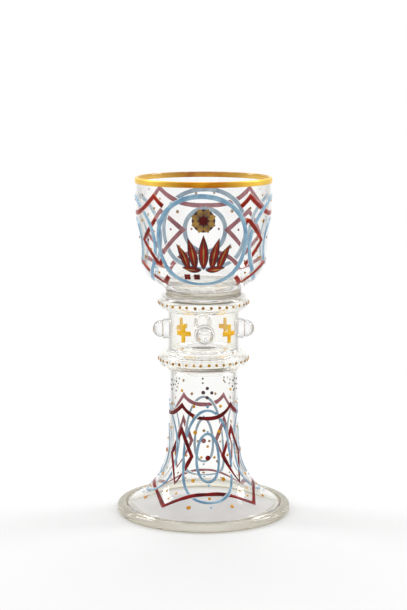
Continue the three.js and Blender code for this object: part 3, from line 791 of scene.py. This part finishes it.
bowlPaint = {"diagonals": (41.8, 133.5, 223.5, 315), "ringShare": 0.945, "ringTopDrops": (7.0, 10.1, 9.6, 10.1),
             "ringBottomRises": (10.8, 8.0, 10.8, 8.0), "smallRadius": 13.0, "lozengeHalfLength": 12.4,
             "lozengeHalfAngles": (20, 23.3, 23.3, 19.5), "lozengeDrop": 0.8, "festoonDrop": 7.8,
             "festoonSag": 11.8, "archRise": 9.8, "archHeight": 13.0}
strapLook = {"width": 2.8, "height": 0.34, "sunk": 0.05, "step": 0.9, "across": 9, "uneven": 0.035, "gap": 0.35,
             "endRound": 0.5, "cornerRoom": 0.42, "fewest": 12}
blueLook = {**strapLook, "materials": [blueEnamel, blueBack], "slot": "blue_enamel"}
redLook = {**strapLook, "materials": [redEnamel, redBack, giltEdge], "slot": "red_enamel"}  # gilt along its edges

bowlQuarters = quartersOf(bowlPaint["diagonals"])
rings = []
for side, (middle, half), drop, rise in zip(sides, bowlQuarters, bowlPaint["ringTopDrops"],
                                            bowlPaint["ringBottomRises"]):
    ringTop = bowlSkin["length"] - drop
    size = (middle, (ringTop + rise) / 2, half * bowlPaint["ringShare"], (ringTop - rise) / 2)
    rings.append((f"bowl_ring_{side}", loopPath(*size), middle))
    if side == "front":
        frontTurn, frontRun, frontHalfTurn, frontHalfRun = size
    else:
        smallTurn = bowlPaint["smallRadius"] / float(radiusAt(bowlSkin, size[1]))
        strap(f"bowl_small_ring_{side}", bowlSkin, loopPath(middle, size[1], smallTurn, bowlPaint["smallRadius"]),
              True, blueLook)

clearance = strapLook["width"] + 0.4


def beyondFront(path):  # the longest stretch of a path outside the front ring
    reach = clearance / radiusAt(bowlSkin, path[:, 1])
    outside = np.hypot(wrap(path[:, 0] - frontTurn) / (frontHalfTurn + reach),
                       (path[:, 1] - frontRun) / (frontHalfRun + clearance)) > 1
    return path[max(stretches(outside, True), key=len)]


festoonRun = bowlSkin["length"] - bowlPaint["festoonDrop"]
bowlFestoons = beyondFront(festoonPath(bowlQuarters, festoonRun, festoonRun - bowlPaint["festoonSag"]))
archRun = bowlPaint["archRise"]
bowlArches = beyondFront(festoonPath(bowlQuarters, archRun, archRun + bowlPaint["archHeight"]))
bowlLozenges = []
for i, (turn, halfAngle) in enumerate(zip(bowlPaint["diagonals"], bowlPaint["lozengeHalfAngles"])):
    path = lozengePath(radians(turn), frontRun - bowlPaint["lozengeDrop"], radians(halfAngle),
                       bowlPaint["lozengeHalfLength"])
    besideFront = i in (0, 3)
    bowlLozenges.append((f"bowl_lozenge_{i + 1}", beyondFront(path) if besideFront else path, not besideFront))
weave(bowlSkin, "bowl", rings, bowlFestoons, bowlArches, bowlLozenges,
      {"blue": blueLook, "red": redLook, "lozenge": redLook, "bandsClosed": False})

# A loop is its share of the quarter's width, the drop of its top, and its length
footPaint = {"diagonals": (51.7, 138.5, 220.5, 321.5), "loop": (0.86, 20.2, 55.2), "smallLoop": (0.384, 33.9, 28.4),
             "lozengeDrop": 32.2, "lozengeLength": 30.5, "lozengeHalfAngle": 20, "festoonDrop": 17.8,
             "festoonSag": 7.1, "archDrop": 80.1, "archHeight": 10.4, "taperFrom": 0.3, "taperTo": 0.38, "longer": 1.7}
footLook = {**strapLook, "width": 2.3, "height": 0.28, "step": 0.7, "uneven": 0.07, "gap": 0.3}
footBlue = {**blueLook, **footLook, "width": 1.6, "materials": [footBlueEnamel, footBlueBack]}
footRed = {**redLook, **footLook, "materials": [footRedEnamel, footRedBack]}
footQuarters = quartersOf(footPaint["diagonals"])


def footRun(drop):
    return footSkin["length"] - drop


loops = []
for side, (middle, half) in zip(sides, footQuarters):
    large, small = (loopPath(middle, footRun(drop + length / 2), half * share, length / 2)
                    for share, drop, length in (footPaint["loop"], footPaint["smallLoop"]))
    loops.append((f"foot_loop_{side}", large, middle))
    strap(f"foot_small_loop_{side}", footSkin, small, True, footBlue)
lozengeHalf = footPaint["lozengeLength"] / 2
lozengeRun = footRun(footPaint["lozengeDrop"] + lozengeHalf)
footLozenges = [(f"foot_lozenge_{i + 1}", lozengePath(
    radians(turn), lozengeRun, radians(footPaint["lozengeHalfAngle"]), lozengeHalf, footPaint["longer"]), True)
                for i, turn in enumerate(footPaint["diagonals"])]
lozengeLook = {**footRed, "taper": ((lozengeRun - lozengeHalf, lozengeRun - footPaint["taperFrom"] * lozengeHalf),
                                    (footPaint["taperTo"], 1.0))}  # the brush lifts towards the lower point
topRun = footRun(footPaint["festoonDrop"])
lowRun = footRun(footPaint["archDrop"])
weave(footSkin, "foot", loops, festoonPath(footQuarters, topRun, topRun - footPaint["festoonSag"]),
      festoonPath(footQuarters, lowRun, lowRun + footPaint["archHeight"]), footLozenges,
      {"blue": footBlue, "red": footRed, "lozenge": lozengeLook, "bandsClosed": True})
print("straps painted")


# Beads of enamel


def dots(name, skin, spots, look, slot, around=16, steps=4):  # spots are (turn in degrees, run, radius)
    vertices, faces, kinds = [], [], []
    for turn, run, radius in spots:
        centre, start = float(radiusAt(skin, run)), len(vertices)
        rows = [(radius * cos(a), look["height"] * sin(a)) for a in np.linspace(0, quarter, steps + 1)[:-1]]
        for reach, lift in [(radius * 0.96, -0.05)] + rows:
            for k in range(around):
                a = 2 * pi * k / around
                vertices.append(tuple(onSkin(skin, radians(turn) + reach * cos(a) / centre,
                                             run + reach * sin(a), lift)))
        vertices.append(tuple(onSkin(skin, radians(turn), run, look["height"])))
        for low in range(start, start + (steps + 1) * around, around):
            for k in range(around):
                n, high = (k + 1) % around, low + around
                closing = [high + n, high + k] if high < len(vertices) - 1 else [len(vertices) - 1]
                faces.append([low + k, low + n, *closing])
        faces.append([start + k for k in reversed(range(around))])
        kinds += [0] * (steps + 1) * around + [1]
    finishPiece(newObject(name, vertices, faces, look["materials"], kinds, 60), slot)


goldLook = {"height": 0.45, "materials": [goldDots, goldBack]}
brightLook = {"height": 0.45, "materials": [brightDots, goldBack]}
darkLook = {"height": 0.4, "materials": [darkDots, darkBack]}
redDotLook = {"height": 0.4, "materials": [redEnamel, redBack]}
blueDotLook = {"height": 0.4, "materials": [blueEnamel, blueBack]}
collarDots = {"upper_collar_dots": (upperSkin, upperCentre + 0.2, 35, -0.6, 0.85),
              "lower_collar_dots": (lowerSkin, lowerCentre, 37, -3.0, 0.85)}  # height, count, first turn, radius
for name, (skin, height, count, first, radius) in collarDots.items():
    rng = random.Random(name)
    dots(name, skin, [(first + 360 * (k + rng.uniform(-0.08, 0.08)) / count,
                       runAt(skin, height) + rng.uniform(-0.15, 0.15), radius * rng.uniform(0.88, 1.12))
                      for k in range(count)], goldLook, "gilding")

# Spots are (turn from the middle in degrees, drop, radius); those off the middle come in pairs
bowlSpots = {
    "gold": ((8.2, 13, 0.85), (26, 23.9, 1.15), (26, 45.2, 1.15), (30, 9, 0.6)),
    "red": ((12.8, 34.5, 0.7), (34, 34.5, 0.8)),
    "diagonal": ((0, 15.6, 0.75), (0, 53.2, 0.8)),
}
footSpots = {
    "dark": ((0, 7.0, 1.05), (0, 12.2, 1.05), (7.1, 9.5, 1.05)),
    "sideDark": ((8, 3.9, 0.65), (0, 6.3, 0.6), (10, 7.2, 0.6), (7, 9.9, 0.65)), "sideTurns": (300, 68, 128, 244),
    "backDark": ((0, 8.7, 0.65), (0, 11.8, 0.65)),
    "gold": ((22.5, 18.0, 1.0), (19.8, 33, 1.15), (0, 41.2, 0.95), (10, 48, 0.85), (20.5, 61.5, 1.2), (0, 72.6, 0.95),
             (20, 78.8, 1.35)),
    "blue": ((0, 17.8, 0.9), (0, 32.4, 0.75), (0, 64.6, 0.75), (0, 78.3, 0.85)),
    "red": ((0, 48, 1.5),),
    "diagonal": ((0, 8.8, 0.85), (11.5, 47.5, 0.75), (6.5, 70, 0.7), (0, 74.5, 0.7)),
}


def scattered(seed, turns, spots, runOf):  # the same spots round each of several turns, set down by hand
    rng = random.Random(seed)
    places = []
    for turn in turns:
        for off, drop, radius in spots:
            for side in (-1, 1) if off else (0,):
                places.append((turn + side * off + rng.uniform(-0.5, 0.5), runOf(drop) + rng.uniform(-0.3, 0.3),
                               radius * rng.uniform(0.85, 1.1)))
    return places


def bowlRun(drop):
    return runAt(bowlSkin, lipTop - drop)


bowlPlaces = {"middle": [degrees(middle) for middle, half in bowlQuarters[1:]], "diagonal": bowlPaint["diagonals"]}
footPlaces = {"middle": [degrees(middle) for middle, half in footQuarters], "diagonal": footPaint["diagonals"],
              "side": footSpots["sideTurns"], "back": (181,)}
footPlaces["front"] = footPlaces["middle"][:1]
onBowl, onFoot = (bowlSkin, bowlPlaces, bowlSpots, bowlRun), (footSkin, footPlaces, footSpots, footRun)
for name, (skin, places, spots, runOf), look, slot, groups in (
        ("bowl_gold_dots", onBowl, goldLook, "gilding", (("bowlGold", "middle", "gold"),
                                                         ("bowlDiagonal", "diagonal", "diagonal"))),
        ("bowl_red_dots", onBowl, redDotLook, "red_enamel", (("bowlRed", "middle", "red"),)),
        ("foot_gold_dots", onFoot, brightLook, "gilding", (("footGold", "middle", "gold"),
                                                           ("footDiagonal", "diagonal", "diagonal"))),
        ("foot_dark_dots", onFoot, darkLook, "red_enamel", (
            ("footDark", "front", "dark"), ("sideDark", "side", "sideDark"), ("backDark", "back", "backDark"))),
        ("foot_blue_dots", onFoot, blueDotLook, "blue_enamel", (("footBlue", "middle", "blue"),)),
        ("foot_red_dots", onFoot, redDotLook, "red_enamel", (("footRed", "middle", "red"),))):
    dots(name, skin, [spot for seed, place, kind in groups
                      for spot in scattered(seed, places[place], spots[kind], runOf)], look, slot)
print("dots set")


# Raised paint that fills an outline: crosses on the drum, and a rosette over a sheaf of leaves on the bowl


def edgeDistance(points, outline):
    along = np.roll(outline, -1, axis=0) - outline
    share = np.clip(((points[:, None] - outline) * along).sum(-1) / (along ** 2).sum(-1), 0, 1)
    return np.linalg.norm(points[:, None] - outline - share[..., None] * along, axis=-1).min(axis=1)


def filled(outline, spacing):  # points and triangles inside a closed outline
    edge = []
    for start, end in zip(outline, np.roll(outline, -1, axis=0)):
        parts = max(1, round(np.linalg.norm(end - start) / spacing))
        edge += [start + (end - start) * k / parts for k in range(parts)]
    edge = np.array(edge)
    low, high = edge.min(axis=0), edge.max(axis=0)
    across, up = np.meshgrid(np.arange(low[0], high[0], spacing), np.arange(low[1], high[1], spacing))
    grid = np.stack([across.ravel(), up.ravel()], axis=1)
    grid = grid[edgeDistance(grid, edge) > spacing * 0.45]
    points = [Vector(p) for p in np.concatenate([edge, grid]).tolist()]
    points, _, triangles, *_ = delaunay_2d_cdt(points, [], [list(range(len(edge)))], 1, 1e-6)
    used = sorted({i for triangle in triangles for i in triangle})
    order = {old: new for new, old in enumerate(used)}
    return np.array([points[i][:] for i in used]), [[order[i] for i in triangle] for triangle in triangles]


def daub(name, skin, turn, run, outlines, look, slot, *nodes):  # outlines in millimetres about one place
    vertices, faces, kinds = [], [], []
    radius = float(radiusAt(skin, run))
    for outline in outlines:
        outline = np.array(outline, float)
        points, triangles = filled(outline, look["spacing"])
        deep = np.clip(edgeDistance(points, outline) / look["round"], 0, 1)
        lifts = look["base"] + look["height"] * np.sqrt(1 - (1 - deep) ** 2)
        start, count = len(vertices), len(points)
        for lift in (lifts, np.full(count, -0.05)):
            vertices += [tuple(v) for v in onSkin(skin, turn + points[:, 0] / radius, run + points[:, 1], lift)]
        edges = {(a, b) for t in triangles for a, b in zip(t, t[1:] + t[:1])}
        for triangle in triangles:
            faces += [[start + i for i in triangle], [start + count + i for i in reversed(triangle)]]
            kinds += [0, 1]
        for a, b in edges:
            if (b, a) not in edges:
                faces.append([start + b, start + a, start + count + a, start + count + b])
                kinds.append(0)
    finishPiece(newObject(name, vertices, faces, look["materials"], kinds, 60), slot, *nodes)


cross = {"turns": (-33.6, 45.1, 138.7, 223), "drops": (0, 0.6, 1.5, 1.5), "height": 11, "width": 10, "arm": 2.9}
crossLook = {"spacing": 0.5, "round": 1.2, "base": 0.05, "height": 0.45, "materials": [amberEnamel, amberBack]}
arm, reachUp, reachOut = cross["arm"] / 2, cross["height"] / 2, cross["width"] / 2
crossCorners = [(arm, arm), (reachOut, arm * 0.9), (reachOut, -arm * 0.95), (arm, -arm), (arm * 0.9, -reachUp),
                (-arm, -reachUp), (-arm, -arm), (-reachOut, -arm * 0.9), (-reachOut * 0.97, arm), (-arm, arm),
                (-arm * 0.85, reachUp), (arm, reachUp * 0.98)]
for i, (turn, drop) in enumerate(zip(cross["turns"], cross["drops"])):
    daub(f"enamel_cross_{i + 1}", drumSkin, radians(turn), pruntHeight - drop - drumBottom,
         [crossCorners[::-1]], crossLook, "amber_enamel", f"enamel_cross_{i + 1}")

paintLook = {"spacing": 0.4, "round": 0.7, "base": 0.05, "height": 0.3}


def petal(length, width, turn, inner, x=0.0, y=0.0, bend=0.0):  # a leaf that points along a turn from straight up
    side = [(sin(pi * t ** 0.8) * width / 2, inner + length * t) for t in np.linspace(0, 1, 13)]
    outline = [(across + bend * (up - inner) ** 2, up) for across, up in side]
    outline += [(-across + bend * (up - inner) ** 2, up) for across, up in side[-2:0:-1]]
    c, s = cos(radians(turn)), sin(radians(turn))
    return [(x + across * c + up * s, y - across * s + up * c) for across, up in outline]


def disc(radius, x=0.0, y=0.0):
    return [(x + radius * cos(a), y + radius * sin(a)) for a in np.radians(np.arange(0, 360, 15))]


device = {"rosetteDrop": 21.9, "petals": 8, "petalLength": 4.9, "petalWidth": 3.7, "heart": 2.8,
          "sheafDrop": 50.2, "flowerDrop": 54.4, "flowerPlaces": (-9.2, -3.7)}
darkGround = {**paintLook, "height": 0.12, "base": 0.02, "materials": [darkDots, darkBack]}
redPaint = {**paintLook, "base": 0.12, "materials": [redEnamel, redBack]}
goldPaint = {**paintLook, "base": 0.2, "materials": [oldGold, goldBack]}
rosetteRun = bowlRun(device["rosetteDrop"])
petalTurns = [360 * (k + 0.5) / device["petals"] for k in range(device["petals"])]
daub("bowl_rosette_ground", bowlSkin, 0, rosetteRun, [disc(device["heart"] + 3.9)], darkGround, "red_enamel")
daub("bowl_rosette_petals", bowlSkin, 0, rosetteRun, [
    petal(device["petalLength"], device["petalWidth"], turn, device["heart"] - 0.2) for turn in petalTurns],
     goldPaint, "gilding")
daub("bowl_rosette_heart", bowlSkin, 0, rosetteRun, [disc(device["heart"] - 0.3)],
     {**redPaint, "height": 0.5, "round": 1.8, "materials": [footRedEnamel, redBack]}, "red_enamel")

# A sheaf of leaves: across, up, turn, length, width, bend
leafSizes = ((0, 0, 0, 20.5, 5.8, 0.0), (4.6, 0, 6, 19.0, 5.2, 0.006), (8.4, -0.3, 13, 16.5, 4.8, 0.012),
             (1.0, 0, 90, 11.5, 3.8, -0.012))
leaves = [(way * x, up, way * turn, length, width, way * bend)
          for x, up, turn, length, width, bend in leafSizes for way in ((1, -1) if x else (1,))]
sheafRun = bowlRun(device["sheafDrop"])
for name, shorter, share, look in (("ground", 0.0, 1.0, darkGround), ("leaves", 0.8, 0.72, redPaint)):
    daub(f"bowl_sheaf_{name}", bowlSkin, 0, sheafRun, [
        petal(length - 2 * shorter, width * share, turn, shorter, x, up, bend)
        for x, up, turn, length, width, bend in leaves], look, "red_enamel")
daub("bowl_sheaf_veins", bowlSkin, 0, sheafRun, [
    petal(length * 0.75, 0.8, turn, 2.4, x, up, bend) for x, up, turn, length, width, bend in leaves],
     {**goldPaint, "base": 0.42, "height": 0.12, "round": 0.3}, "gilding")
for k, place in enumerate(device["flowerPlaces"]):
    turn = place / float(radiusAt(bowlSkin, bowlRun(device["flowerDrop"])))
    daub(f"bowl_flower_{k + 1}", bowlSkin, turn, bowlRun(device["flowerDrop"]), [
        petal(2.3, 2.2, 45 + 90 * corner, 0.1) for corner in range(4)],
         {**redPaint, "spacing": 0.3, "round": 0.5, "materials": [footRedEnamel, redBack]}, "red_enamel")
print("crosses and device painted")


# Camera, light and floor

shot = {"distance": 968, "height": 276.6, "tilt": 8.95, "focal": 1659, "frameHeight": 610, "film": 36}
camera = placed("camera", bpy.data.cameras.new("camera"))
camera.location = (0, -shot["distance"] * mm, shot["height"] * mm)
camera.rotation_euler = (radians(90 - shot["tilt"]), 0, 0)
camera.data.sensor_width = shot["film"]
camera.data.lens = shot["focal"] / shot["frameHeight"] * shot["film"]
camera.data.clip_start = 0.01
bpy.context.scene.camera = camera

studio = {"worldDiffuse": 0.72, "back": 1.0, "front": 0.9, "top": 0.9, "gap": 0.58, "floorShadeGrey": 0.67,
          "fadeFrom": 0.10, "fadeTo": 0.30, "floorHalf": 6, "lampPower": 9}


def lamp(name, place, size):
    light = bpy.data.lights.new(name, "AREA")
    light.shape = "RECTANGLE"
    light.size, light.size_y = size
    light.energy = studio["lampPower"]
    thing = placed(name, light)
    thing.location = place
    thing.rotation_euler = (Vector((0, 0, 0.1)) - Vector(place)).to_track_quat("-Z", "Y").to_euler()
    return thing


lamp("softboxLeft", (-1.05, 0.35, 1.0), (0.35, 0.6))
lamp("softboxRight", (1.05, 0.35, 1.0), (0.35, 0.6))
backLamp = lamp("softboxBack", (0, 0.9, 1.3), (0.9, 0.9))
backLamp.visible_transmission = False  # it lights the floor and shows as no white patch in the plate


def glow(tree, strength, kind="Emission"):
    return addNode(tree, kind, {"Color": white, "Strength": strength}).outputs[0]


def roomLight(tree, direction):  # white behind the goblet and at its sides, dimmer between, in front and overhead
    split = addNode(tree, "SeparateXYZ", {"Vector": direction}).outputs
    across = worked(tree, "ABSOLUTE", split["X"])
    ahead = mapped(tree, split["Y"], -1, 0.2, studio["front"], studio["back"])
    above = mapped(tree, split["Z"], 0.3, 1, 1.0, studio["top"])
    between = worked(tree, "MAXIMUM", mapped(tree, across, 0.35, 0.65, 1.0, studio["gap"]),
                     mapped(tree, across, 0.88, 0.97, studio["gap"], 1.0))
    return worked(tree, "MULTIPLY", worked(tree, "MULTIPLY", ahead, above), between)


world = bpy.data.worlds.new("studio")
world.use_nodes = True
bpy.context.scene.world = world
tree = world.node_tree
tree.nodes.clear()
rays = addNode(tree, "LightPath").outputs
clear = worked(tree, "MAXIMUM", rays["Is Glossy Ray"], rays["Is Transmission Ray"])
room = glow(tree, roomLight(tree, addNode(tree, "TexCoord").outputs["Generated"]), "Background")
seen = choose(tree, clear, glow(tree, studio["worldDiffuse"], "Background"), room)
addNode(tree, "OutputWorld", {"Surface": choose(tree, rays["Is Camera Ray"], seen, glow(tree, 1.0, "Background"))})

# near the goblet the floor is matt grey, lit by the lamps with their real shadows, and darker than the white glow
# beyond: a painted shadow round the goblet that fades out between fadeFrom and fadeTo
floorShadeGrey, tree = newMaterial("floorShadeGrey")
place = ownPlace(tree)
reach = addNode(tree, "VectorMath", {0: place}, operation="LENGTH").outputs["Value"]
way = addNode(tree, "VectorMath", {0: place}, operation="NORMALIZE").outputs["Vector"]
matt = addNode(tree, "BsdfDiffuse", {"Color": (studio["floorShadeGrey"],) * 3}).outputs["BSDF"]
cameraRay = addNode(tree, "LightPath").outputs["Is Camera Ray"]
shining = choose(tree, cameraRay, glow(tree, roomLight(tree, way)), glow(tree, 1.0))
faded = choose(tree, mapped(tree, reach, studio["fadeFrom"], studio["fadeTo"]), matt, shining)
addNode(tree, "OutputMaterial", {"Surface": faded})
half = studio["floorHalf"]
floor = newObject("floor", [(-half, -half, 0), (half, -half, 0), (half, half, 0), (-half, half, 0)], [[0, 1, 2, 3]],
                  [floorShadeGrey])

scene = bpy.context.scene
scene.view_settings.view_transform = "Standard"
scene.cycles.max_bounces = 32
scene.cycles.transmission_bounces = 32
scene.cycles.glossy_bounces = 12
scene.cycles.diffuse_bounces = 4
scene.cycles.transparent_max_bounces = 64
